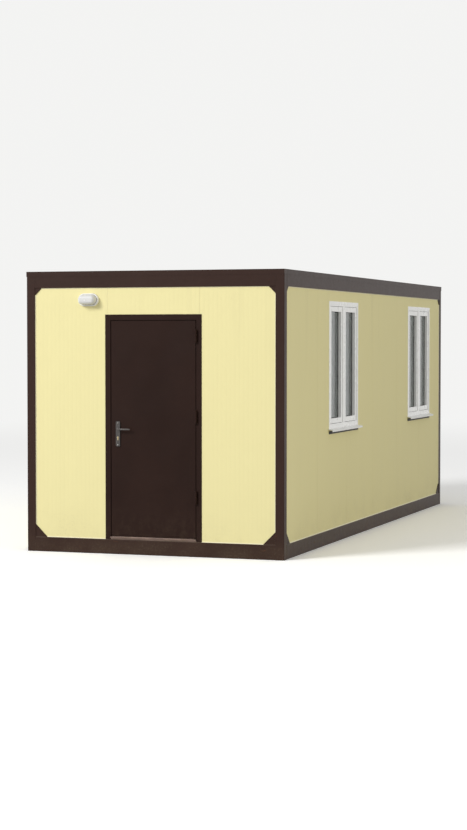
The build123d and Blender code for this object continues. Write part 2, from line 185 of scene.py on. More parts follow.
# Surfaces: points on a grid, worked out as whole arrays
class Skin:
    """Points, four-sided faces and three-sided faces of one or more closed surfaces."""

    def __init__(self, points, quads, tris):
        self.points = np.asarray(points, float).reshape(-1, 3)
        self.quads = np.asarray(quads, int).reshape(-1, 4)
        self.tris = np.asarray(tris, int).reshape(-1, 3)

    def outward(self):
        """The same surface with its faces turned outwards: the space inside a closed surface, added
        up as the pyramids from the origin to each face, has to be more than nothing."""
        faces = np.vstack([self.quads[:, [0, 1, 2]], self.quads[:, [0, 2, 3]], self.tris])
        a, b, c = (self.points[faces[:, corner]] for corner in range(3))
        if np.einsum("ij,ij->", a, np.cross(b, c)) < 0:
            return Skin(self.points, self.quads[:, ::-1], self.tris[:, ::-1])
        return self

    def copies(self, places, turns=None):
        """A copy at each place, each turned first where turns are given."""
        places = np.asarray(places, float).reshape(-1, 3)
        if turns is None:
            turns = np.broadcast_to(np.eye(3), (len(places), 3, 3))
        points = np.einsum("nj,kij->kni", self.points, np.asarray(turns, float)) + places[:, None]
        steps = np.arange(len(places))[:, None, None] * len(self.points)
        return Skin(points, self.quads + steps, self.tris + steps)


def together(skins):
    """Several surfaces as one."""
    skins = list(skins)
    starts = np.cumsum([0] + [len(skin.points) for skin in skins])
    return Skin(
        np.vstack([skin.points for skin in skins]),
        np.vstack([skin.quads + start for skin, start in zip(skins, starts)]),
        np.vstack([skin.tris + start for skin, start in zip(skins, starts)]),
    )


def surface(grid, ring_closed=False):
    """The closed surface through a grid of points [along, round]. It always joins up round; along,
    it either joins up too or is shut at both ends by a fan of triangles round their middle."""
    along, around = grid.shape[:2]
    rows = along if ring_closed else along - 1
    u, v = np.meshgrid(np.arange(rows), np.arange(around), indexing="ij")
    above, beside = (u + 1) % along, (v + 1) % around
    quads = np.stack(
        [u * around + v, above * around + v, above * around + beside, u * around + beside], -1
    ).reshape(-1, 4)
    if ring_closed:
        return Skin(grid, quads, np.empty((0, 3))).outward()
    points = np.vstack([grid.reshape(-1, 3), grid[0].mean(0), grid[-1].mean(0)])
    this, following = np.arange(around), (np.arange(around) + 1) % around
    first, last = along * around, along * around + 1
    top = (along - 1) * around
    tris = np.vstack([
        np.stack([np.full(around, first), this, following], -1),
        np.stack([np.full(around, last), top + following, top + this], -1),
    ])
    return Skin(points, quads, tris).outward()


def carried(profile, path, normal, closed=False):
    """A profile carried along a flat path with mitred corners. A profile point (a, b) lies a to the
    right of the path, seen against the normal, and b along the normal. At a corner the sideways
    step is the sum of both runs' sideways directions over one plus their dot product."""
    path, profile = np.asarray(path, float), np.asarray(profile, float)
    runs = np.roll(path, -1, 0) - path
    sides = np.cross(runs, normal)
    sides /= np.maximum(np.linalg.norm(sides, axis=1, keepdims=True), 1e-12)
    before, after = np.roll(sides, 1, 0), sides.copy()
    if not closed:
        before[0], after[-1] = after[0], before[-1]
    mitre = (before + after) / (1 + np.sum(before * after, 1, keepdims=True))
    grid = (
        path[:, None]
        + profile[None, :, :1] * mitre[:, None]
        + profile[None, :, 1:] * np.asarray(normal, float)
    )
    return surface(grid, closed)


def arc(half_width, half_height, share=1.0, steps=8):
    """Points (across, up) on an oval in even steps, from its right side round by a share of a
    turn. A whole turn leaves out its last point, which would be the first again."""
    angle = np.linspace(0, 2 * np.pi * share, steps, endpoint=share < 1)
    return np.stack([half_width * np.cos(angle), half_height * np.sin(angle)], -1)


def turned(profile, steps=24):
    """A profile of (radius, height) points turned round the Z axis in even steps."""
    profile = np.asarray(profile, float)
    angle = np.linspace(0, 2 * np.pi, steps, endpoint=False)
    radius, height = profile[:, :1], np.repeat(profile[:, 1:], steps, 1)
    return surface(np.stack([radius * np.cos(angle), radius * np.sin(angle), height], -1))


def straight_bar(outline, start, end, across, up):
    """A bar from start to end with the same outline of points (across, up) all along."""
    outline = np.asarray(outline, float)
    line = outline[:, :1] * across + outline[:, 1:] * up
    return surface(np.stack([start + line, end + line]))


def weld_bead(start, end, across, outward, radius):
    """A bead along a straight joint: a tube whose radius swells by an eighth with every ripple and
    closes in at both ends like the root of one minus the sixteenth power."""
    ripple, spacing, least_close = 2.1 * radius, 0.45 * radius, 0.02
    run = np.linalg.norm(end - start)
    t = np.linspace(0, 1, max(int(run / spacing), 8))
    swell = 1 + np.sin(2 * np.pi * t * run / ripple) / 8
    close = np.sqrt(np.maximum(1 - (2 * t - 1) ** 16, least_close))
    tube = arc(1, BEAD_FLATNESS)
    reach = (radius * swell * close)[:, None, None]
    section = tube[:, :1] * across + tube[:, 1:] * outward
    return surface(start + t[:, None, None] * (end - start) + reach * section)


def rounded_bar(width, height, corner, steps=4):
    """The outline of a rectangle with round corners, as points (across, up) about its middle."""
    quarter = arc(corner, corner, 0.25, steps + 1)
    corners = []
    for sign_x, sign_y in ((1, 1), (-1, 1), (-1, -1), (1, -1)):
        middle = (sign_x * (width / 2 - corner), sign_y * (height / 2 - corner))
        points = quarter * (sign_x, sign_y) + middle
        corners.append(points if sign_x == sign_y else points[::-1])
    return np.vstack(corners)


def plate(outline, steps, across, up):
    """A plate on a wall: its outline at each depth of the steps, drawn in by a share. It lies across
    and up, and stands out along the cross product of these."""
    outward = np.cross(across, up)
    return surface(np.stack([
        outline[:, :1] * share * across + outline[:, 1:] * share * up + outward * depth
        for share, depth in steps
    ]))


def cut_head(radius, rise, recess, arm, slot_only=False):
    """A round head with a cut in its top, about the Z axis: a dome whose height falls with the
    square of the radius, less a recess where the point is within half an arm of the cut's lines."""
    fall, cut_reach = 0.8, 0.62
    share = np.array([1.0, 0.9, 0.75, 0.6, 0.52, 0.44, 0.36, 0.28, 0.2, 0.12, 0.02])[:, None]
    x, y = (radius * share * side for side in arc(1, 1, steps=48).T)
    near = np.abs(x) if slot_only else np.minimum(np.abs(x), np.abs(y))
    cut = (near < arm / 2) & (share < cut_reach)
    lid = np.stack([x, y, rise * (1 - fall * share ** 2) - recess * cut], -1)
    return surface(np.concatenate([lid[:1] * (1, 1, 0), lid]))


def signed_power(values, power):
    """A power of the size of each value, with the sign of the value."""
    return np.sign(values) * np.abs(values) ** power


def mesh_of(name, skin, material):
    """The mesh of a surface, with one material."""
    mesh = bpy.data.meshes.new(name)
    mesh.from_pydata(skin.points, [], skin.quads.tolist() + skin.tris.tolist())
    if mesh.validate():
        raise RuntimeError(f"{name}: the surface has faulty faces")
    mesh.materials.append(material)
    return mesh


def added(name, data):
    """A new object of the scene with the mesh, light or camera given."""
    thing = bpy.data.objects.new(name, data)
    bpy.context.scene.collection.objects.link(thing)
    return thing


def make(name, skins, body, material, smooth):
    """The object of one surface or several: it rides on a body and has one material. Its faces are
    smooth where they meet at less than the angle given, in degrees."""
    mesh = mesh_of(name, skins if isinstance(skins, Skin) else together(skins), material)
    mesh.shade_smooth()
    mesh.set_sharp_from_angle(angle=math.radians(smooth))
    piece = added(name, mesh)
    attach(piece, body)
    return piece


def dress(material, *nodes):
    """Puts a material on nodes of the frame."""
    for node in nodes:
        mesh = frame["nodes"][node].data
        mesh.materials.clear()
        mesh.materials.append(material)


# Materials: nodes written as arithmetic
class Wire:
    """A value on its way through a material. Arithmetic on it adds Math nodes."""

    def __init__(self, shade, socket):
        self.shade, self.socket = shade, socket

    def math(self, operation, *values):
        return self.shade.node("Math", {"operation": operation}, dict(enumerate(values)))

    def __add__(self, other):
        return self.math("ADD", self, other)

    def __sub__(self, other):
        return self.math("SUBTRACT", self, other)

    def __rsub__(self, other):
        return self.math("SUBTRACT", other, self)

    def __mul__(self, other):
        return self.math("MULTIPLY", self, other)

    __radd__, __rmul__ = __add__, __mul__

    def size(self):
        return self.math("ABSOLUTE", self)

    def least(self, other):
        return self.math("MINIMUM", self, other)

    def most(self, other):
        return self.math("MAXIMUM", self, other)

    def between_lines(self, pitch):
        """How far the value is from the nearest whole multiple of the pitch."""
        return self.math("PINGPONG", self, pitch / 2)

    def rise(self, low, high):
        """0 before low and 1 past high with a smooth step between, or falling if low is more."""
        return self.shade.node(
            "MapRange",
            {"interpolation_type": "SMOOTHSTEP"},
            {"Value": self, "From Min": low, "From Max": high},
        )


class Shade:
    """A material, or the light of the world, under construction."""

    def __init__(self, owner):
        self.owner = bpy.data.materials.new(owner) if isinstance(owner, str) else owner
        self.owner.use_nodes = True
        self.tree = self.owner.node_tree
        self.tree.nodes.clear()

    @cached_property
    def point(self):
        """The object's own coordinates."""
        return self.node("TexCoord", outlet="Object")

    @cached_property
    def parts(self):
        """The object's own coordinates, each on its own."""
        return self.separate(self.point)

    @property
    def x(self):
        return self.parts[0]

    @property
    def y(self):
        return self.parts[1]

    @property
    def z(self):
        return self.parts[2]

    def node(self, kind, settings=None, values=None, outlet=0):
        """Any node: its settings come first, then the values or links of its sockets."""
        made = self.tree.nodes.new("ShaderNode" + kind)
        for name, value in (settings or {}).items():
            setattr(made, name, value)
        for key, value in (values or {}).items():
            if isinstance(value, Wire):
                self.tree.links.new(value.socket, made.inputs[key])
            else:
                made.inputs[key].default_value = value
        return None if outlet is None else Wire(self, made.outputs[outlet])

    def separate(self, vector):
        """The three parts of a vector, each on its own."""
        first = self.node("SeparateXYZ", values={0: vector})
        return [Wire(self, outlet) for outlet in first.socket.node.outputs]

    def spread(self, stretch):
        """The object's coordinates, each multiplied by its own factor."""
        return self.node("VectorMath", {"operation": "MULTIPLY"}, {0: self.point, 1: stretch})

    def noise(self, scale, detail=4, roughness=0.55, stretch=(1, 1, 1)):
        """Cloudy noise of so many features a metre, around a half."""
        values = {"Scale": scale, "Detail": detail, "Roughness": roughness}
        return self.node("TexNoise", values={"Vector": self.spread(stretch), **values})

    def cells(self, scale):
        """Cells of so many a metre, each with its own random grey."""
        values = {"Vector": self.spread((1, 1, 1)), "Scale": scale}
        colour = self.node("TexVoronoi", values=values, outlet="Color")
        return self.node("SeparateColor", values={0: colour})

    def facing_up(self):
        """How much the surface faces up, from -1 to 1."""
        return self.separate(self.node("NewGeometry", outlet="Normal"))[2]

    def mix(self, share, first, second):
        """The first colour, or as much of the second as the share says."""
        colours = [value if isinstance(value, Wire) else (*value, 1) for value in (first, second)]
        values = {0: share, 6: colours[0], 7: colours[1]}
        return self.node("Mix", {"data_type": "RGBA", "clamp_factor": True}, values, outlet=2)

    def scaled(self, colour, level):
        """A colour made lighter or darker by a level near 1."""
        return self.node("VectorMath", {"operation": "SCALE"}, {0: colour, "Scale": level})

    def bump(self, height, depth, before=None):
        """The normal of a relief: its height from 0 to 1 times a depth in metres."""
        values = {"Strength": 1.0, "Distance": depth, "Height": height}
        if before is not None:
            values["Normal"] = before
        return self.node("Bump", values=values)

    def finish(self, colour, roughness, normal=None, **constants):
        """Joins colour, roughness and normal to the surface shader; the constants are plain values
        of its other sockets, with a space for each underscore of their names."""
        values = {name.replace("_", " "): value for name, value in constants.items()}
        values["Base Color"] = colour if isinstance(colour, Wire) else (*colour, 1)
        values["Roughness"] = roughness
        if normal is not None:
            values["Normal"] = normal
        return self.shown(self.node("BsdfPrincipled", values=values))

    def shown(self, shader, kind="Material"):
        """Ends the material, or the world, with a shader as what is seen."""
        self.node(f"Output{kind}", values={"Surface": shader}, outlet=None)
        return self.owner


def tint(name, level=1, lift=0):
    """A colour of the settings as a plain tuple, made lighter or darker by a level and a lift."""
    colour = getattr(bpy.context.scene.cabin_colours, name)
    return tuple(min(1, part * level + lift) for part in colour)


def named_material(maker):
    """Makes a material the first time that a step asks for it, and later gives the same one."""

    def given():
        return bpy.data.materials.get(maker.__name__) or maker(Shade(maker.__name__))

    return given


def soiled(shade, colour, roughness, top, amount):
    """Dry soil splashed up from the ground: thick at the foot and in spots further up."""
    foot = shade.z.rise(top, 0.02)
    spots = shade.noise(55, 5, 0.7).rise(0.47, 0.72)
    cloud = shade.noise(3.5, 4).rise(0.3, 0.75)
    share = (foot * foot * (spots * 0.7 + 0.3) * cloud * amount).least(1)
    return shade.mix(share, colour, tint("soil")), roughness + share * 0.3


@named_material
def paint_of_frame(shade):
    """Brown paint on steel: rolled on with an orange peel skin, dusty on top, chipped to rust at
    the feet and paler where it has weathered."""
    broad, fine = shade.noise(1.3, 3), shade.noise(34, 6, 0.65)
    faded = (broad * 0.7 + fine * 0.45 - 0.2).rise(0.1, 0.75) * 0.45
    colour = shade.mix(faded, tint("frame"), tint("frame", 1.35, 0.003))
    dust = shade.facing_up().rise(0.55, 0.95) * shade.noise(5, 5).rise(0.25, 0.7) * 0.5
    colour = shade.mix(dust, colour, tint("soil"))
    foot = shade.z.rise(0.34, 0.03)
    chips = shade.noise(21, 7, 0.72).rise(0.63, 0.67) * (foot * 0.9 + 0.06)
    colour = shade.mix(chips, colour, tint("rust"))
    rough = 0.33 + fine * 0.16 + dust * 0.3 + chips * 0.4
    colour, rough = soiled(shade, colour, rough, 0.3, 0.35)
    peel = shade.bump(shade.noise(420, 2, 0.45) - chips * 0.5, 0.00015)
    dents = shade.bump(shade.noise(4.5, 2), 0.003, peel)
    return shade.finish(colour, rough.least(1), dents, Specular_IOR_Level=0.16)


@named_material
def paint_of_door(shade):
    """Dark brown powder coat on pressed sheet: a fine grain, slight waves, and dust from shoes."""
    fine = shade.noise(70, 5, 0.6)
    worn = shade.noise(2.2, 4).rise(0.35, 0.75)
    colour = shade.mix(worn * 0.35 + fine * 0.15, tint("door"), tint("door", 1.6, 0.002))
    foot = shade.z.rise(0.6, 0.15)
    wiped = shade.noise(16, 6, 0.7, (1, 1, 0.7)).rise(0.4, 0.8) * foot * foot
    colour = shade.mix(wiped * 0.1, colour, tint("soil"))
    grain = shade.bump(shade.noise(900, 2, 0.5), 0.0003)
    waves = shade.bump(shade.noise(2.6, 1), 0.012, grain)
    rough = (0.36 + fine * 0.14 + wiped * 0.3).least(1)
    return shade.finish(colour, rough, waves, Specular_IOR_Level=0.1)


@named_material
def coat_of_wall(shade):
    """Cream coated sheet, white on the room side, with fine upright ribs. Rain has left faint
    upright streaks, and soil has splashed up from the ground."""
    sizes = bpy.context.scene.cabin_sizes
    depth_in = (SIDE_FACE - shade.x.size()).least(END_FACE - shade.y.size())
    inside = depth_in.rise(0.028, 0.032)
    end_wall = (END_FACE - shade.y.size()).rise(0.07, 0.06)
    across = shade.x * end_wall + shade.y * (1 - end_wall)
    groove = across.between_lines(sizes.rib_pitch).rise(0.012, 0.002)
    streaks = shade.noise(7, 5, 0.6, (1, 1, 0.06))
    fine_streaks = shade.noise(40, 4, 0.6, (1, 1, 0.03))
    clouds = shade.noise(0.9, 3)
    level = 0.955 + streaks * 0.03 + fine_streaks * 0.015 + clouds * 0.045
    # The grooves between the ribs are painted a touch darker, as painted shade.
    outer = shade.scaled(tint("wall"), level - groove * 0.004)
    dull = shade.mix(clouds.rise(0.35, 0.8) * 0.5, outer, shade.scaled(outer, 0.97))
    drips = streaks.rise(0.52, 0.72) * shade.z.rise(1.2, WALL_TOP) * 0.06
    dull = shade.mix(drips, dull, tint("soil"))
    splash_top = WALL_BOTTOM + 0.5
    outer, rough = soiled(shade, dull, 0.42 + fine_streaks * 0.12, splash_top, 0.3)
    room = shade.scaled(tint("inner_wall"), 0.96 + clouds * 0.06)
    colour = shade.mix(inside, outer, room)
    waves = shade.bump(shade.noise(3, 2), 0.004)
    ribs = shade.bump(1 - groove, sizes.rib_depth, waves)
    return shade.finish(colour, rough.least(1), ribs, Specular_IOR_Level=0.1)


@named_material
def glass_of_window(shade):
    """Clear glass with a green tint and a thin uneven film of dust."""
    film = shade.noise(3, 5, 0.6).rise(0.35, 0.8) * 0.05 + shade.noise(60, 3).rise(0.6, 0.8) * 0.03
    return shade.finish(
        shade.scaled(tint("glass"), 0.97 + film), film + 0.01, Transmission_Weight=1.0, IOR=1.38,
        Specular_IOR_Level=0.3,
    )


@named_material
def plastic_of_window(shade):
    """Smooth white plastic with soft waves and a little dust."""
    dust = shade.noise(6, 3, 0.5).rise(0.35, 0.85)
    specks = shade.noise(120, 3, 0.6).rise(0.6, 0.75)
    colour = shade.mix(dust * 0.03 + specks * 0.02, tint("window"), (0.50, 0.46, 0.38))
    skin = shade.bump(shade.noise(6, 1), 0.0006)
    return shade.finish(colour, 0.27 + dust * 0.05, skin, Coat_Weight=0.6)


@named_material
def coat_of_sill(shade):
    """White coated sheet with faint rain tracks across it and dust."""
    tracks = shade.noise(45, 4, 0.6, (0.12, 1, 1)).rise(0.45, 0.75)
    dust = shade.noise(9, 4).rise(0.4, 0.8)
    colour = shade.mix(tracks * 0.09 + dust * 0.08, tint("sill"), (0.42, 0.37, 0.28))
    return shade.finish(colour, 0.35 + dust * 0.25, shade.bump(shade.noise(30, 2), 0.0008))


@named_material
def steel_of_handle(shade):
    """Worn plated steel with fine brush lines, browned and dulled in patches."""
    lines = shade.noise(1500, 3, 0.6, (0.06, 1, 1))
    stains = shade.noise(60, 5, 0.6).rise(0.4, 0.75)
    colour = shade.mix(stains * 0.5, tint("steel"), (0.10, 0.088, 0.08))
    rough = 0.27 + lines * 0.15 + stains * 0.2
    return shade.finish(colour, rough, shade.bump(lines, 0.00012), Metallic=1.0)


@named_material
def brass_of_lock(shade):
    """Dull brass with fine marks along the cylinder and patches of tarnish."""
    tarnish = shade.noise(220, 5, 0.6).rise(0.4, 0.7)
    colour = shade.mix(tarnish * 0.6, tint("brass"), (0.2, 0.15, 0.08))
    marks = shade.bump(shade.noise(2500, 2, 0.5, (1, 0.2, 1)), 0.00008)
    return shade.finish(colour, 0.3 + tarnish * 0.25, marks, Metallic=1.0)


@named_material
def metal_of_threshold(shade):
    """Scuffed metal plate, rubbed bright in the middle of the way in and dusty beside it."""
    way = shade.x.size().rise(0.42, 0.1)
    scuffs = shade.noise(28, 6, 0.7, (0.35, 1, 1)).rise(0.42, 0.66)
    soil = shade.noise(16, 5, 0.6).rise(0.5, 0.75) * (1 - way * 0.5)
    colour = shade.mix(scuffs * (way * 0.6 + 0.3), tint("threshold"), tint("threshold", 1.6))
    colour = shade.mix(soil * 0.6, colour, tint("soil"))
    rough = 0.35 + soil * 0.3 + scuffs * 0.1
    return shade.finish(colour, rough, shade.bump(scuffs, 0.0003), Metallic=0.75)


@named_material
def board_of_floor(shade):
    """Brown coated plywood with a fine mesh print, trodden paler near the door."""
    plies = shade.noise(6, 6, 0.6, (4, 0.5, 30)).rise(0.35, 0.7)
    trodden = shade.y.rise(-0.5, -2.9) * shade.noise(3, 5).rise(0.3, 0.7)
    colour = shade.mix(plies * 0.5, tint("floor"), tint("floor", 0.55))
    colour = shade.mix(trodden * 0.45, colour, tint("soil"))
    mesh = [side.between_lines(0.006).rise(0.001, 0.002) for side in (shade.x, shade.y)]
    return shade.finish(colour, 0.45 + trodden * 0.25, shade.bump(mesh[0] * mesh[1], 0.0003))


@named_material
def sheet_of_ceiling(shade):
    """White coated sheet, a little cloudy and slightly wavy."""
    clouds = shade.noise(1.4, 3)
    colour = shade.scaled(tint("inner_wall"), 0.97 + clouds * 0.05)
    return shade.finish(colour, 0.45 + clouds * 0.1, shade.bump(shade.noise(3, 2), 0.003))


@named_material
def zinc_of_roof(shade):
    """Weathered zinc: crystal flakes of slightly different greys, white bloom and soil in the
    valleys."""
    flake_grey = shade.cells(75)
    bloom = shade.noise(2.4, 6, 0.65).rise(0.42, 0.72)
    valley = shade.z.rise(FRAME_TOP + 0.011, FRAME_TOP + 0.002)
    silt = valley * shade.noise(3.6, 6, 0.6, (0.5, 1, 1)).rise(0.36, 0.7)
    colour = shade.scaled(tint("roof"), 0.82 + flake_grey * 0.22)
    colour = shade.mix(bloom * 0.4, colour, (0.55, 0.55, 0.53))
    colour = shade.mix(silt * 0.6, colour, tint("soil"))
    rough = 0.38 + flake_grey * 0.12 + bloom * 0.25 + silt * 0.25
    relief = shade.bump(shade.noise(9, 3), 0.0015, shade.bump(flake_grey, 0.0001))
    return shade.finish(colour, rough.least(1), relief, Metallic=0.55)


@named_material
def plastic_of_light(shade):
    """Matt white moulded plastic, slightly yellowed, with dust on its top."""
    dust = shade.facing_up().rise(0.2, 0.8) * shade.noise(30, 4).rise(0.3, 0.7)
    age = shade.noise(12, 3).rise(0.3, 0.8)
    colour = shade.mix(age * 0.25, tint("lamp"), (0.74, 0.70, 0.56))
    colour = shade.mix(dust * 0.4, colour, tint("soil"))
    return shade.finish(colour, 0.45 + dust * 0.2, shade.bump(shade.noise(500, 2), 0.0002))


@named_material
def globe_of_light(shade):
    """Frosted white glass, a little uneven, with a thin dust."""
    dust = shade.noise(40, 4).rise(0.45, 0.8)
    colour = shade.mix(dust * 0.12, tint("lamp"), (0.62, 0.58, 0.48))
    uneven = shade.bump(shade.noise(90, 2), 0.0004)
    return shade.finish(colour, 0.24 + dust * 0.08, uneven, Transmission_Weight=0.2, IOR=1.45)


@named_material
def rubber(shade):
    """Black rubber, dusty and a little grey with age."""
    dust = shade.noise(45, 5, 0.65).rise(0.35, 0.8)
    colour = shade.mix(dust * 0.22, tint("rubber"), (0.20, 0.18, 0.15))
    return shade.finish(colour, 0.6 + dust * 0.2, shade.bump(shade.noise(320, 3), 0.0002))


@named_material
def sealant(shade):
    """Pale sealant smoothed by hand: slightly lumpy, with dust stuck to it."""
    dust = shade.noise(35, 5, 0.65).rise(0.45, 0.8)
    colour = shade.mix(dust * 0.2, tint("sealant"), tint("soil"))
    return shade.finish(colour, 0.5 + dust * 0.15, shade.bump(shade.noise(50, 3), 0.0012))


@named_material
def zinc_of_screws(shade):
    """Bright zinc plating on the small screws, dulled and spotted with rust."""
    spots = shade.noise(300, 4, 0.7).rise(0.55, 0.75)
    colour = shade.mix(spots * 0.6, (0.42, 0.41, 0.39), tint("rust"))
    return shade.finish(colour, 0.32 + spots * 0.35, shade.bump(spots, 0.0001), Metallic=0.9)


# Steps: each operator finishes one group of pieces
class CABIN_OT_frame(bpy.types.Operator):
    """Paints the steel frame and lays a weld bead on each of its joints and corner plates"""

    bl_idname = "cabin.frame"
    bl_label = "Frame"

    def execute(self, context):
        paint = paint_of_frame()
        nodes = frame["nodes"]
        beams = [name for name in nodes if name.endswith(("_post", "_beam", "_beams"))]
        dress(paint, "base_cross_members", "corner_gussets", "roof_edge_trim", *beams)
        radius = context.scene.cabin_sizes.weld_radius
        beads = []
        for wall in walls():
            for low, high in ((0, WALL_BOTTOM), (WALL_TOP, FRAME_TOP)):
                for side in (-1, 1):
                    beads.append(beam_joint(wall, side, low, high, radius))
            beads += plate_joints(wall, radius * 0.75)
        make("weld_beads", beads, "cabin", paint, smooth=60)
        return {"FINISHED"}


class Wall:
    """One wall of the frame, as seen from outside: where it is, and its sideways direction."""

    def __init__(self, outward, run, reach, face):
        self.outward, self.across = outward, np.cross(Z, outward)
        self.run, self.reach, self.face = run, reach, face

    def at(self, across, depth, height):
        """A point given by its place across the wall, its reach from the middle and its height."""
        return self.across * across + self.outward * depth + Z * height


def walls():
    """The four walls: front, rear, right and left."""
    ends = (INNER_WIDTH, HALF_LENGTH, END_FACE)
    sides = (INNER_LENGTH, HALF_WIDTH, SIDE_FACE)
    return [Wall(-Y, *ends), Wall(Y, *ends), Wall(X, *sides), Wall(-X, *sides)]


def beam_joint(wall, side, low, high, radius):
    """The bead up the joint of a beam with a post, sunk so that little of it stands proud."""
    proud, into_post, end_gap = 0.0012, 0.002, 0.005
    depth = wall.reach - BEAD_FLATNESS * radius + proud
    place = side * (wall.run + into_post)
    start, end = wall.at(place, depth, low + end_gap), wall.at(place, depth, high - end_gap)
    return weld_bead(start, end, wall.across, wall.outward, radius)


def plate_joints(wall, radius):
    """The beads along both legs of the four corner plates of a wall."""
    thickness, corner_gap = 0.006, 0.004
    beads = []
    for side in (-1, 1):
        inward = -side * wall.across
        for level, upright, leg in ((WALL_BOTTOM, Z, LOWER_LEG), (WALL_TOP, -Z, UPPER_LEG)):
            corner = wall.at(side * wall.run, wall.face + thickness, level)
            for along, across in ((upright, inward), (inward, upright)):
                start, end = corner + along * corner_gap, corner + along * leg
                beads.append(weld_bead(start, end, across, wall.outward, radius))
    return beads


class CABIN_OT_walls(bpy.types.Operator):
    """Coats the wall panels, fills their joints and runs sealant round each wall"""

    bl_idname = "cabin.walls"
    bl_label = "Walls"

    def execute(self, context):
        dress(coat_of_wall(), *[name for name in frame["nodes"] if "wall" in name])
        leg = context.scene.cabin_sizes.sealant_leg
        fillets = [fillet for wall in walls() for fillet in wall_fillets(wall, leg)]
        make("wall_sealant", fillets, "cabin", sealant(), smooth=40)
        make("panel_joint_seals", joint_seals(), "cabin", sealant(), smooth=40)
        return {"FINISHED"}


def fillet_outline(leg, steps=6):
    """A hollow fillet in a right-angled corner: a quarter of a circle about the far corner."""
    root = -0.001
    hollow = leg - arc(leg, leg, 0.25, steps)[-2:0:-1, ::-1]
    return np.vstack([[root, root], [leg, root], [leg, 0], hollow, [0, leg], [root, leg]])


def wall_fillets(wall, leg):
    """The fillets of sealant between a wall and its beams and posts. They end at the corner plates,
    and the lower one of the door wall leaves out the door."""
    outline, lap = fillet_outline(leg), 0.002
    low_plate, high_plate = LOWER_LEG - lap, UPPER_LEG - lap
    made = []
    for side in (-1, 1):
        start = wall.at(side * wall.run, wall.face, WALL_BOTTOM + low_plate)
        end = wall.at(side * wall.run, wall.face, WALL_TOP - high_plate)
        made.append(straight_bar(outline, start, end, -side * wall.across, wall.outward))
    low, high, casing = wall.run - low_plate, wall.run - high_plate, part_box("door_frame")[1].x
    has_door = wall.outward[1] < -0.5
    lower = [(-low, -casing), (casing, low)] if has_door else [(-low, low)]
    spans = [(WALL_BOTTOM, Z, *span) for span in lower] + [(WALL_TOP, -Z, -high, high)]
    for level, up, first, last in spans:
        start, end = wall.at(first, wall.face, level), wall.at(last, wall.face, level)
        made.append(straight_bar(outline, start, end, up, wall.outward))
    return made


def joint_seals():
    """A seal in each joint between two panels, just below both faces, cut where a window is."""
    half_joint, recess, side_panels, behind_frame = 0.001, 0.0012, 6, 0.015
    windows = [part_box(f"{name}_window_frame") for name in ("front", "rear")]
    side_middle, end_middle = (SIDE_FACE + SIDE_BACK) / 2, (END_FACE + END_BACK) / 2
    side_bar = rounded_bar(SIDE_FACE - SIDE_BACK - 2 * recess, 2 * half_joint, half_joint * 0.9)
    end_bar = side_bar[:, ::-1]
    over_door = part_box("front_wall_over_door")
    runs = [(end_bar, Y * end_middle, WALL_BOTTOM, WALL_TOP)]
    for sign in (-1, 1):
        beside_door = X * sign * (over_door[1].x + half_joint) - Y * end_middle
        runs.append((end_bar, beside_door, over_door[0].z, WALL_TOP))
        for place in np.linspace(-INNER_LENGTH, INNER_LENGTH, side_panels + 1)[1:-1]:
            spans = [(WALL_BOTTOM, WALL_TOP)]
            for low, high in windows:
                if sign > 0 and low.y < place < high.y:
                    spans = [(WALL_BOTTOM, low.z + behind_frame), (high.z - behind_frame, WALL_TOP)]
            runs += [(side_bar, X * sign * side_middle + Y * place, *span) for span in spans]
    return [
        straight_bar(bar, middle + Z * bottom, middle + Z * top, X, Y)
        for bar, middle, bottom, top in runs
    ]


class CABIN_OT_roof(bpy.types.Operator):
    """Finishes the roof sheet, sets washered screws in its valleys and covers the trim's corners"""

    bl_idname = "cabin.roof"
    bl_label = "Roof"

    def execute(self, context):
        sizes = context.scene.cabin_sizes
        dress(zinc_of_roof(), "roof_sheet")
        radius = sizes.washer_radius
        washer = turned(
            [(radius, 0), (radius, 0.0014), (radius * 0.86, 0.0024), (radius * 0.5, 0.0027)], 20
        )
        key = radius * 0.52
        head = turned([(key, 0.002), (key, 0.0062), (key * 0.86, 0.0071), (key * 0.4, 0.0074)], 6)
        rows, last_valley, pitch = (-1.085, -0.55, 0, 0.55, 1.085), 2.775, 0.15
        valleys = np.arange(-last_valley, last_valley + 0.01, pitch * sizes.roof_screw_step)
        valley_top = levels("roof_sheet", 2)[1]
        places = [(x, y, valley_top) for x in rows for y in valleys]
        make("roof_washers", washer.copies(places), "cabin", rubber(), smooth=35)
        make("roof_screws", head.copies(places), "cabin", zinc_of_screws(), smooth=25)
        make("trim_corner_covers", trim_corner_covers(), "cabin", paint_of_frame(), 30)
        return {"FINISHED"}


def trim_corner_covers():
    """A thin plate over the open side of the roof trim at each corner of the cabin."""
    low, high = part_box("roof_edge_trim")
    thickness, gap = high.y - HALF_LENGTH, 0.001
    length = levels("roof_edge_trim", 1)[3] + HALF_LENGTH - gap
    height = high.z - thickness - low.z
    outline = rounded_bar(length, height, 0.003)
    steps = ((1, 0), (1, thickness * 0.6), (0.985, thickness * 0.95))
    made = []
    for x, y in CORNERS:
        middle = (x * HALF_WIDTH, y * (HALF_LENGTH - length / 2), low.z + height / 2)
        made.append(plate(outline, steps, Y * x, Z).copies([middle]))
    return made


class CABIN_OT_room(bpy.types.Operator):
    """Finishes the floor and the ceiling, rolls fine ribs along the ceiling sheet, and runs white coves
    round the ceiling and up the corners"""

    bl_idname = "cabin.room"
    bl_label = "Room"

    def execute(self, context):
        dress(board_of_floor(), "floor_deck")
        dress(sheet_of_ceiling(), "ceiling_panel")
        coves = [ceiling_cove(0.06), *corner_coves(0.036)]
        make("room_coves", coves, "cabin", plastic_of_window(), smooth=40)
        make("ceiling_ribs", ceiling_ribs(), "cabin", sheet_of_ceiling(), smooth=60)
        return {"FINISHED"}


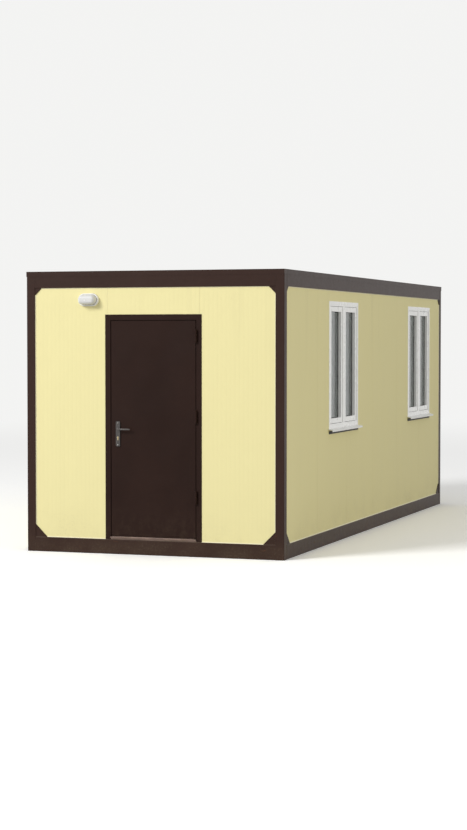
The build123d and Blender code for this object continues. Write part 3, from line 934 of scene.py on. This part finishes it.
def ceiling_cove(leg):
    """The cove round the ceiling: a hollow fillet carried once round the room."""
    ends = ((-1, -1), (1, -1), (1, 1), (-1, 1))
    path = [(x * SIDE_BACK, y * END_BACK, CEILING) for x, y in ends]
    return carried(-fillet_outline(leg, 10), path, Z, closed=True)


def corner_coves(leg):
    """The coves up the four corners of the room, over the edges of the posts."""
    outline, made = fillet_outline(leg), []
    for x, y in CORNERS:
        corner = X * x * SIDE_BACK + Y * y * END_BACK
        made.append(straight_bar(outline, corner + Z * FLOOR, corner + Z * CEILING, -x * X, -y * Y))
    return made


def ceiling_ribs():
    """Low flat-topped ribs along the ceiling sheet."""
    section = [(-0.006, -0.0003), (-0.003, 0.0012), (0.003, 0.0012), (0.006, -0.0003)]
    reach, last, count = Y * (END_BACK - 0.04), 1, 21
    rib = straight_bar(section, -reach, reach, X, -Z)
    return rib.copies([(x, 0, CEILING) for x in np.linspace(-last, last, count)])


class CABIN_OT_door(bpy.types.Operator):
    """Finishes the door, its frame, hinges and threshold, lays the ribs of the tread, and fits the
    hinge caps and the rubber seal of the stop"""

    bl_idname = "cabin.door"
    bl_label = "Door"

    def execute(self, context):
        paint, metal = paint_of_door(), metal_of_threshold()
        dress(paint, "door_frame", "door_leaf", "door_hinge_pins", "door_hinge_knuckles")
        dress(metal, "door_threshold")
        make("door_seal", stop_seal(), "cabin", rubber(), smooth=50)
        below, above = hinge_caps()
        make("hinge_caps_lower", below, "cabin", paint, smooth=40)
        make("hinge_caps_upper", above, "door", paint, smooth=40)
        make("threshold_ribs", threshold_ribs(), "cabin", metal, smooth=60)
        return {"FINISHED"}


def stop_seal():
    """The rubber bulb on the stop of the door frame: up one side, over the head and down again."""
    leaf, half, gap, lap, foot_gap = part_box("door_leaf"), 0.391, 0.005, 0.004, 0.025
    face, top, bottom = leaf[1].y + gap, leaf[1].z - lap, WALL_BOTTOM + foot_gap
    path = [(-half, face, bottom), (-half, face, top), (half, face, top), (half, face, bottom)]
    return carried(arc(0.0045, 0.0044, 0.5, 9), path, -Y)


def threshold_ribs():
    """The tread of the threshold: half-round ribs along it, from its nose to its back edge."""
    low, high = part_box("door_threshold")
    half_width, rise, root, pitch = 0.0015, 0.0009, -0.0003, 0.009
    section = [(half_width, root), *arc(half_width, rise, 0.5, 7), (-half_width, root)]
    reach = X * (levels("door_threshold", 0)[2] - 0.004)
    rib = straight_bar(section, -reach, reach, Y, Z)
    return rib.copies([(0, y, high.z) for y in np.arange(low.y + 0.005, high.y - 0.004, pitch)])


def hinge_caps():
    """Domed caps under the fixed barrels and over the turning ones."""
    radius, rise, tip = 0.01, 0.0045, 0.0008
    over = turned([*arc(radius, rise, 0.25, 6)[:-1], (tip, rise)])
    under = Skin(over.points * (1, 1, -1), over.quads, over.tris).outward()
    x, y = joint_place("door_swing")[0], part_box("door_hinge_pins")[0].y + radius
    pins, knuckles = levels("door_hinge_pins", 2), levels("door_hinge_knuckles", 2)
    below = under.copies([(x, y, foot) for foot in pins[0::3]])
    above = over.copies([(x, y, top) for top in knuckles[2::3]])
    return below, above


def joint_place(name):
    """A point on the axis of a joint."""
    return next(joint["pos_m"] for joint in frame["joints"] if joint["name"] == name)


class CABIN_OT_handle(bpy.types.Operator):
    """Finishes the door handle, its plates and lock, with the latch and strike plates, the collars
    of the levers, the plate screws and the key plugs"""

    bl_idname = "cabin.handle"
    bl_label = "Handle"

    def execute(self, context):
        steel, brass = steel_of_handle(), brass_of_lock()
        dress(steel, "door_handle_plates")
        dress(brass, "door_lock_cylinder")
        plates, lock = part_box("door_handle_plates"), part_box("door_lock_cylinder")
        faces, turns = (plates[0].y, plates[1].y), [facing(-Y), facing(Y)]
        levers = make("lever_handles", lever_shapes(faces), "handle", steel, 50)
        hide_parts("door_levers")
        latch, bolt, strike, hole_shades = latch_fittings(plates, lock)
        make("latch_plate", latch, "door", steel, 40)
        make("latch_bolt", bolt, "door", brass, 40)
        make("strike_plate", strike, "cabin", steel, 40)
        # Painted shade of the bolts' holes, as dark pads on the strike plate
        make("strike_pockets", hole_shades, "cabin", rubber(), 40)
        spindle_x, _, spindle_z = joint_place("handle_turn")
        collar = turned([(0.0125, 0), (0.0125, 0.0014), (0.0108, 0.0030), (0.0086, 0.0034)], 32)
        collars = collar.copies([(spindle_x, face, spindle_z) for face in faces], turns)
        make("lever_collars", collars, "door", steel, 40)
        radius, end_gap = context.scene.cabin_sizes.plate_screw_radius, 0.014
        screw = cut_head(radius, rise=0.0016, recess=0.0013, arm=0.0013)
        middle, heights = (plates[0].x + plates[1].x) / 2, (plates[0].z + end_gap, plates[1].z - end_gap)
        places = [(middle, face, height) for face in faces for height in heights]
        screws = screw.copies(places, np.repeat(turns, len(heights), 0))
        make("plate_screws", screws, "door", zinc_of_screws(), 30)
        plug = cut_head(0.0062, rise=0.0009, recess=0.0035, arm=0.0016, slot_only=True)
        plug_x, plug_z = (lock[0].x + lock[1].x) / 2, lock[1].z - 0.0085
        plugs = plug.copies([(plug_x, face, plug_z) for face in (lock[0].y, lock[1].y)], turns)
        make("key_plugs", plugs, "door", brass, 30)
        return {"FINISHED"}


def latch_fittings(plates, lock):
    """The plate and the bolt on the edge of the leaf, and the strike plate on the door frame with a dark
    pad at each bolt's pocket, as painted shade of the hole. The bolt is a wedge whose reach falls along
    it."""
    leaf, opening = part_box("door_leaf"), levels("door_frame", 0)[2]
    edge, middle = leaf[0].x, (leaf[0].y + leaf[1].y) / 2
    spindle_z, lock_z = joint_place("handle_turn")[2], (lock[0].z + lock[1].z) / 2
    height = (plates[0].z + plates[1].z) / 2
    steps = ((1, 0), (1, 0.0008), (0.97, 0.0012))
    latch = plate(rounded_bar(0.022, 0.20, 0.004), steps, -Y, Z).copies([(edge, middle, height)])
    bolt_width, bolt_reach, sunk = 0.013, 0.0042, 0.0008
    bolt_end = rounded_bar(bolt_width, 0.026, 0.0015, 2)
    reach = bolt_reach * np.clip(0.5 - bolt_end[:, 0] / bolt_width, 0.15, 1)
    root = bolt_end[:, :1] * Y + bolt_end[:, 1:] * Z
    bolt = surface(np.stack([root, root - X * reach[:, None]])).copies([(edge - sunk, middle, spindle_z)])
    strike = plate(rounded_bar(0.026, 0.22, 0.004), steps, Y, Z).copies([(opening, middle, height)])
    # A dark pad that stands for the shade inside a bolt's hole: painted shade
    hole_shade = plate(rounded_bar(0.016, 0.034, 0.002), ((1, 0), (1, 0.0014)), Y, Z)
    return latch, bolt, strike, hole_shade.copies([(opening, middle, z) for z in (spindle_z, lock_z)])


def lever_shapes(faces):
    """The outer and the inner lever: an oval section carried out of the plate, round a quarter
    circle and along the door. The section is the root form of an oval, round at the neck, taller
    than it is thick along the arm, and closed in like a quarter circle at the tip."""
    neck, bend, radius, droop = 0.022, 0.010, 0.0078, 0.0035
    blend_start, blend_run, tip_length, least_tip = 0.018, 0.03, 0.006, 0.12
    spindle_x, _, spindle_z = joint_place("handle_turn")
    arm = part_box("door_levers")[1].x - spindle_x - bend
    turn = np.linspace(0, np.pi / 2, 12)[1:]
    run = arm * (1 - (1 - np.linspace(0, 1, 26)[1:]) ** 1.6)
    along = np.concatenate([np.zeros(4), bend * (1 - np.cos(turn)), bend + run])
    out = np.concatenate([
        np.linspace(-0.001, neck, 4),
        neck + bend * np.sin(turn),
        neck + bend - droop * (run / arm) ** 2,
    ])
    line = np.stack([along, out], -1)
    slope = np.gradient(line, axis=0)
    slope /= np.linalg.norm(slope, axis=1, keepdims=True)
    gone = np.concatenate([[0], np.cumsum(np.linalg.norm(np.diff(line, axis=0), axis=1))])
    share = gone / gone[-1]
    step = np.clip((gone - blend_start) / blend_run, 0, 1)
    blend = step ** 2 * (3 - 2 * step)
    past = np.clip((gone - gone[-1] + tip_length) / (tip_length + 0.0001), 0, 1)
    tip = np.maximum(np.sqrt(1 - past ** 2), least_tip)
    thick = (radius + blend * (-0.0036 - 0.0005 * share)) * tip
    tall = (radius + blend * (0.0010 - 0.0022 * share)) * tip
    side, rise = signed_power(arc(1, 1, steps=28).T, 0.8)
    across = line[:, :1] - slope[:, 1:] * thick[:, None] * side
    outward = line[:, 1:] + slope[:, :1] * thick[:, None] * side
    height = tall[:, None] * rise
    return [
        surface(np.stack([spindle_x + across, face + direction * outward, spindle_z + height], -1))
        for face, direction in zip(faces, (-1, 1))
    ]


def facing(outward):
    """The turn that takes +Z to an outward direction and keeps a wall's sideways line level."""
    return np.stack([np.cross(Z, outward), Z, outward], 1)


class CABIN_OT_windows(bpy.types.Operator):
    """Finishes the windows, with their gaskets, spacers, corner welds, drain caps, handles, hinge
    covers, dark strips of painted shadow under the sills, and the end caps and screws of the sills"""

    bl_idname = "cabin.windows"
    bl_label = "Windows"

    def execute(self, context):
        plastic, black, zinc = plastic_of_window(), rubber(), zinc_of_screws()
        finishes = {
            "frame": plastic, "sashes": plastic, "panes": glass_of_window(), "sill": coat_of_sill()
        }
        fittings = {
            "gaskets": (black, "window_plastic", 40),
            "spacers": (zinc, "window_glass", 40),
            "hinge_covers": (plastic, "window_plastic", 40),
            "corner_welds": (plastic, "window_plastic", 40),
            "drain_caps": (plastic, "window_plastic", 40),
            "handles": (plastic, "window_plastic", 40),
            # A dark strip under each sill, as painted shadow of the sill
            "sill_gap": (black, "window_sill", 40),
            "sill_ends": (plastic, "window_sill", 40),
            "sill_screws": (zinc, "window_sill", 30),
        }
        for name in ("front_window", "rear_window"):
            for node, finish in finishes.items():
                dress(finish, f"{name}_{node}")
            window = Window(name, context.scene.cabin_sizes.gasket_width)
            for fitting, (finish, slot, smooth) in fittings.items():
                skins = getattr(window, fitting)()
                make(f"{name}_{fitting}", skins, "cabin", finish, smooth)
        return {"FINISHED"}


class Window:
    """The small fittings of one window, placed by the levels of its nodes."""

    def __init__(self, name, gasket_width):
        # The edges of both sashes and of the glass in each are picked out of the sashes' levels
        self.gasket, self.sill = gasket_width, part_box(f"{name}_sill")
        y, z = levels(f"{name}_sashes", 1), levels(f"{name}_sashes", 2)
        self.sashes, self.lights = [(y[1], y[6]), (y[9], y[14])], [(y[3], y[4]), (y[11], y[12])]
        self.sash_z, self.light_z = (z[1], z[6]), (z[3], z[4])
        self.pane_back, self.pane_front = levels(f"{name}_panes", 0)
        self.room_face, *_, self.sash_face = levels(f"{name}_sashes", 0)
        self.foot = levels(f"{name}_frame", 2)[2:4]

    def ring(self, y_range, z_range, depth, outline):
        """An outline carried round a rectangle of the window, clockwise as seen from outside."""
        (left, right), (low, high) = y_range, z_range
        path = [(depth, left, low), (depth, left, high), (depth, right, high), (depth, right, low)]
        return carried(outline, path, X, closed=True)

    def gaskets(self):
        """Rubber lips on both faces of the glass, and the seal between sash and frame."""
        lip = np.array([
            (-0.0005, -0.0004), (-0.0005, 0.0035), (0.0012, 0.0033), (self.gasket, 0.0008),
            (self.gasket, -0.0004),
        ])
        seal = [(-0.0001, -0.004), (-0.0001, 0), (-0.0015, 0.0012), (-0.0029, 0), (-0.0029, -0.004)]
        seal_depth = self.sash_face - 0.012
        made = []
        for sash, light in zip(self.sashes, self.lights):
            made.append(self.ring(light, self.light_z, self.pane_front, lip))
            made.append(self.ring(light, self.light_z, self.pane_back, lip * (1, -1)))
            made.append(self.ring(sash, self.sash_z, seal_depth, seal))
        return made

    def spacers(self):
        """The metal spacer between the two sheets of each pane, just inside its gasket."""
        width, sheet, overlap = 0.005, 0.004, 0.001
        bar = rounded_bar(width, self.pane_front - self.pane_back - 2 * sheet, 0.001, 1)
        middle = (self.pane_back + self.pane_front) / 2
        return [
            self.ring((left - overlap, right + overlap), self.light_z, middle, bar)
            for left, right in self.lights
        ]

    def hinge_covers(self):
        """Two capped hinge barrels on the room side of each sash, at its outer edge."""
        radius, half, beside_sash, from_end = 0.0065, 0.032, 0.014, 0.09
        dome = [(radius * math.cos(a), half + radius * 0.6 * math.sin(a)) for a in (0, 0.4, 0.8, 1.2)]
        waist = [(radius, 0.001), (radius * 0.9, 0.0005), (radius * 0.9, -0.0005), (radius, -0.001)]
        barrel = turned([*dome[::-1], *waist, *[(reach, -height) for reach, height in dome]], 20)
        edges = (self.sashes[0][0] - beside_sash, self.sashes[1][1] + beside_sash)
        heights = (self.sash_z[0] + from_end, self.sash_z[1] - from_end)
        return barrel.copies([(self.room_face + 0.003, y, z) for y in edges for z in heights])

    def corner_welds(self):
        """The fine ridge of the welded mitre at each corner of the sashes."""
        ridge, face = arc(0.0011, 0.0005), X * self.sash_face
        made = []
        for outer, inner in zip(self.sashes, self.lights):
            for y_end, z_end in ((0, 0), (0, 1), (1, 0), (1, 1)):
                start = face + Y * outer[y_end] + Z * self.sash_z[z_end]
                end = face + Y * inner[y_end] + Z * self.light_z[z_end]
                across = np.cross(end - start, X)
                across /= np.linalg.norm(across)
                made.append(straight_bar(ridge, start, end, across, X))
        return made

    def drain_caps(self):
        """Two caps over the drain holes in the foot of the frame."""
        cap = plate(rounded_bar(0.032, 0.009, 0.004), ((1, 0), (1, 0.0016), (0.86, 0.0026)), Y, Z)
        height = sum(self.foot) / 2
        return cap.copies([(SIDE_FACE, sum(light) / 2, height) for light in self.lights])

    def handles(self):
        """A handle on the room side of each sash: a rounded base plate and a lever that hangs. The
        lever's path is a short neck and then a straight drop, and its section an oval."""
        base = plate(rounded_bar(0.028, 0.07, 0.012), ((1, 0), (1, 0.007), (0.88, 0.0095)), -Y, Z)
        root, neck, drop = 0.012, 0.034, 0.125
        t = np.linspace(0, 1, 12)[:, None, None]
        route = -X * (root + neck * np.minimum(t * 5, 1)) - Z * drop * np.maximum(t - 0.12, 0)
        side, rise = arc(1, 1, steps=12).T[:, :, None]
        section = side * Y * (0.011 - 0.003 * t) + rise * 0.006 * (X + Z * 0.6)
        half_bar = (self.sashes[0][1] - self.lights[0][1]) / 2
        bars = (self.lights[0][1] + half_bar, self.lights[1][0] - half_bar)
        places = [(self.room_face, bar, sum(self.light_z) / 2) for bar in bars]
        return together([base, surface(route + section)]).copies(places)

    def sill_gap(self):
        """A dark rubber strip under the sill that stands for the sill's shadow: painted shadow."""
        low, high = self.sill
        end_gap = 0.02
        place = X * (SIDE_FACE + 0.001) + Z * (low.z - 0.008)
        start, end = place + Y * (low.y + end_gap), place + Y * (high.y - end_gap)
        return straight_bar(rounded_bar(0.007, 0.028, 0.003), start, end, X, Z)

    def sill_ends(self):
        """A plastic cap over each end of the sill: a bar bent like its section."""
        low, high = self.sill
        half, lap, bend_drop = 0.002, 0.001, 0.0108
        nose = high.x - half - 0.0003
        path = np.array([
            (SIDE_FACE + lap, 0, high.z - lap), (nose, 0, high.z - bend_drop), (nose, 0, low.z + lap)
        ])
        bar = rounded_bar(2 * half, 0.006, 0.001, 2)
        return [carried(bar, path + Y * end, Y) for end in (low.y + lap, high.y - lap)]

    def sill_screws(self):
        """Three screws through the back of the sill, square to its slope."""
        low, high = self.sill
        from_wall, from_end, drop = 0.01, 0.09, 0.0022
        slope = np.array([0.045, 0, -0.01])
        slope /= np.linalg.norm(slope)
        turn = np.stack([slope, Y, np.cross(slope, Y)], 1)
        places = [
            (SIDE_FACE + from_wall, y, high.z - drop)
            for y in np.linspace(low.y + from_end, high.y - from_end, 3)
        ]
        screw = cut_head(0.0045, rise=0.002, recess=0.0012, arm=0.0012)
        return screw.copies(places, [turn] * len(places))


class CABIN_OT_light(bpy.types.Operator):
    """Finishes the bulkhead light, with the gasket and the screws of its globe"""

    bl_idname = "cabin.light"
    bl_label = "Light"

    def execute(self, context):
        dress(plastic_of_light(), "light_base")
        base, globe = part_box("light_base"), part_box("light_globe")
        fluted = make("fluted_globe", fluted_globe(globe), "cabin", globe_of_light(), 60)
        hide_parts("light_globe")
        middle, face, margin, beside = (base[0] + base[1]) / 2, base[0].y, 0.001, 0.0045
        half_width = (globe[1].x - globe[0].x) / 2 + margin
        half_height = (globe[1].z - globe[0].z) / 2 + margin
        x, z = arc(half_height, half_height, steps=48).T
        x = x + (half_width - half_height) * np.sign(np.round(x, 9))
        path = np.stack([x + middle.x, np.full_like(x, face), z + middle.z], -1)
        gasket = carried(arc(0.0012, 0.0012), path, -Y, closed=True)
        make("light_gasket", gasket, "cabin", rubber(), 60)
        screw = cut_head(0.0035, rise=0.0014, recess=0.001, arm=0.001)
        places = [(middle.x + side * (half_width + beside), face, middle.z) for side in (-1, 1)]
        screws = screw.copies(places, [facing(-Y)] * 2)
        make("light_screws", screws, "cabin", zinc_of_screws(), 30)
        return {"FINISHED"}


def fluted_globe(box):
    """A fluted glass globe, as D-shaped sections along its length. A section is half an oval in its
    root form, closed by its straight back. Towards both ends its height falls off like a circle and
    its reach like a squarer circle, with the end power in place of two. The flutes let it swell and
    shrink by a cosine along the length."""
    flute_pitch, flute_depth, end_reach, end_power = 0.0075, 0.02, 0.036, 2.4
    half_length, half_height = (box[1].x - box[0].x) / 2, (box[1].z - box[0].z) / 2
    place = half_length * np.sin(np.linspace(-1.55, 1.55, 270))
    beyond = np.maximum(np.abs(place) - half_length + np.array([[half_height], [end_reach]]), 0)
    tall = np.sqrt(1 - (beyond[0] / half_height) ** 2)
    deep = (1 - (beyond[1] / end_reach) ** end_power) ** (1 / end_power)
    swell = 1 - flute_depth * (1 - np.cos(2 * np.pi * place / flute_pitch)) / 2
    rise, reach = signed_power(arc(1, 1, 0.5, 24).T, 0.66)
    middle = (box[0] + box[1]) / 2
    across = np.repeat((middle.x + place)[:, None], len(rise), 1)
    outward = box[1].y - (box[1].y - box[0].y) * (deep * swell)[:, None] * reach
    height = middle.z + half_height * (tall * swell)[:, None] * rise
    return surface(np.stack([across, outward, height], -1))


class CABIN_OT_stage(bpy.types.Operator):
    """Sets up the pale floor, the lamps and the camera"""

    bl_idname = "cabin.stage"
    bl_label = "Studio"

    def execute(self, context):
        settings = context.scene.cabin_stage
        lay_floor(settings)
        light_sky(settings)
        key_place, key_aim, key_size = (-15.0, -23.4, 16.1), (-0.3, -2.4, 1.2), 9.6
        fill_place, fill_aim, fill_size = (15.0, -5.0, 5.0), (1.2, 0, 1.2), 6.0
        warm_white = (1, 0.95, 0.84)
        lamp("key_lamp", key_place, key_aim, key_size, settings.key_light)
        lamp("fill_lamp", fill_place, fill_aim, fill_size, settings.fill_light, warm_white)
        set_camera(settings)
        context.scene.view_settings.view_transform = "Standard"
        return {"FINISHED"}


def seen_directly(shade):
    """1 for a ray that the camera sees, straight or by gloss or through glass."""
    ray = shade.node("LightPath", outlet="Is Camera Ray")
    outlets = ray.socket.node.outputs
    glossy, passing = (Wire(shade, outlets[f"Is {kind} Ray"]) for kind in ("Glossy", "Transmission"))
    return ray.most(glossy).most(passing)


def lay_floor(settings):
    """A round pale floor that keeps the shadow and turns into the plain backdrop further out. Seen
    directly it is paler than the light it throws back on the cabin."""
    edge_drop = 0.05
    rings = [(settings.floor_radius * share, 0) for share in (0.02, 0.05, 0.1, 0.2, 0.4, 1)]
    skin = turned([*rings, (settings.floor_radius, -edge_drop)], 96)
    shade = Shade("studio_floor")
    away = shade.node("VectorMath", {"operation": "LENGTH"}, {0: shade.point}, outlet="Value")
    seen = seen_directly(shade)
    level = (0.99 + shade.noise(0.6, 3) * 0.02) * (seen * settings.floor_lift + settings.floor_bounce)
    diffuse = shade.node("BsdfDiffuse", values={"Color": shade.scaled((1, 1, 0.993), level)})
    plain = shade.node("Emission", values={"Color": (*tint("backdrop"), 1)})
    share = away.rise(settings.fade_start, settings.fade_end) * seen
    shade.shown(shade.node("MixShader", values={0: share, 1: diffuse, 2: plain}))
    added("floor", mesh_of("floor", skin, shade.owner))


def light_sky(settings):
    """Even light from all round; what the camera sees of it is the plain backdrop."""
    shade = Shade(bpy.data.worlds.new("studio"))
    even = shade.node("Background", values={"Color": (1, 1, 1, 1), "Strength": settings.sky})
    plain = shade.node("Background", values={"Color": (*tint("backdrop"), 1), "Strength": 1.0})
    mixed = shade.node("MixShader", values={0: seen_directly(shade), 1: even, 2: plain})
    bpy.context.scene.world = shade.shown(mixed, "World")


def lamp(name, place, aim, size, power, colour=(1, 1, 1)):
    """A square soft lamp turned towards a point."""
    data = bpy.data.lights.new(name, "AREA")
    data.size, data.energy, data.color = size, power, colour
    made = added(name, data)
    made.location = place
    made.rotation_euler = (Vector(aim) - Vector(place)).to_track_quat("-Z", "Y").to_euler()


def set_camera(settings):
    """The camera stands where the photograph was taken from, 15.6 m out from the door wall and
    1.9 m up, and its lens is long enough for the cabin to fill its share of the picture."""
    stand = Vector((6.074, -18.554, 1.885))
    picture_height, picture_width = 830, 467
    xs, ys, zs = zip(*CAD_BOX)
    corners = [Vector((x, y, z)) - stand for x in xs for y in ys for z in zs]
    bearings = [math.atan2(corner.x, corner.y) for corner in corners]
    slopes = [math.atan2(corner.z, math.hypot(corner.x, corner.y)) for corner in corners]
    bearing = (min(bearings) + max(bearings)) / 2
    slope = (min(slopes) + max(slopes)) / 2
    aim = Vector((
        math.sin(bearing) * math.cos(slope), math.cos(bearing) * math.cos(slope), math.sin(slope)
    ))
    half_span = (max(bearings) - min(bearings)) / 2
    data = bpy.data.cameras.new("camera")
    short_side = data.sensor_width * picture_width / picture_height
    data.lens = settings.frame_share * short_side / 2 / math.tan(half_span)
    data.clip_end = 500
    camera = added("camera", data)
    camera.location = stand
    camera.rotation_euler = aim.to_track_quat("-Z", "Y").to_euler()
    bpy.context.scene.camera = camera


STEPS = (
    CABIN_OT_frame,
    CABIN_OT_walls,
    CABIN_OT_roof,
    CABIN_OT_room,
    CABIN_OT_door,
    CABIN_OT_handle,
    CABIN_OT_windows,
    CABIN_OT_light,
    CABIN_OT_stage,
)
SETTINGS = {"cabin_colours": CabinColours, "cabin_sizes": CabinSizes, "cabin_stage": CabinStage}


class CABIN_PT_finish(bpy.types.Panel):
    """The steps of the finish, with their settings"""

    bl_label = "Site Cabin"
    bl_space_type = "VIEW_3D"
    bl_region_type = "UI"
    bl_category = "Site Cabin"

    def draw(self, context):
        for step in STEPS:
            self.layout.operator(step.bl_idname)
        for name in SETTINGS:
            group = getattr(context.scene, name)
            for setting in group.bl_rna.properties:
                if setting.identifier not in ("rna_type", "name"):
                    self.layout.prop(group, setting.identifier)


def register():
    for group in SETTINGS.values():
        bpy.utils.register_class(group)
    for name, group in SETTINGS.items():
        setattr(bpy.types.Scene, name, bpy.props.PointerProperty(type=group))
    for step in STEPS:
        bpy.utils.register_class(step)
    bpy.utils.register_class(CABIN_PT_finish)


def unregister():
    bpy.utils.unregister_class(CABIN_PT_finish)
    for step in reversed(STEPS):
        bpy.utils.unregister_class(step)
    for name in SETTINGS:
        delattr(bpy.types.Scene, name)
    for group in SETTINGS.values():
        bpy.utils.unregister_class(group)


def main():
    """Runs every step in order."""
    register()
    for step in STEPS:
        group, name = step.bl_idname.split(".")
        if getattr(getattr(bpy.ops, group), name)() != {"FINISHED"}:
            raise RuntimeError(f"{step.bl_label} was not finished")


if __name__ == "__main__":
    main()
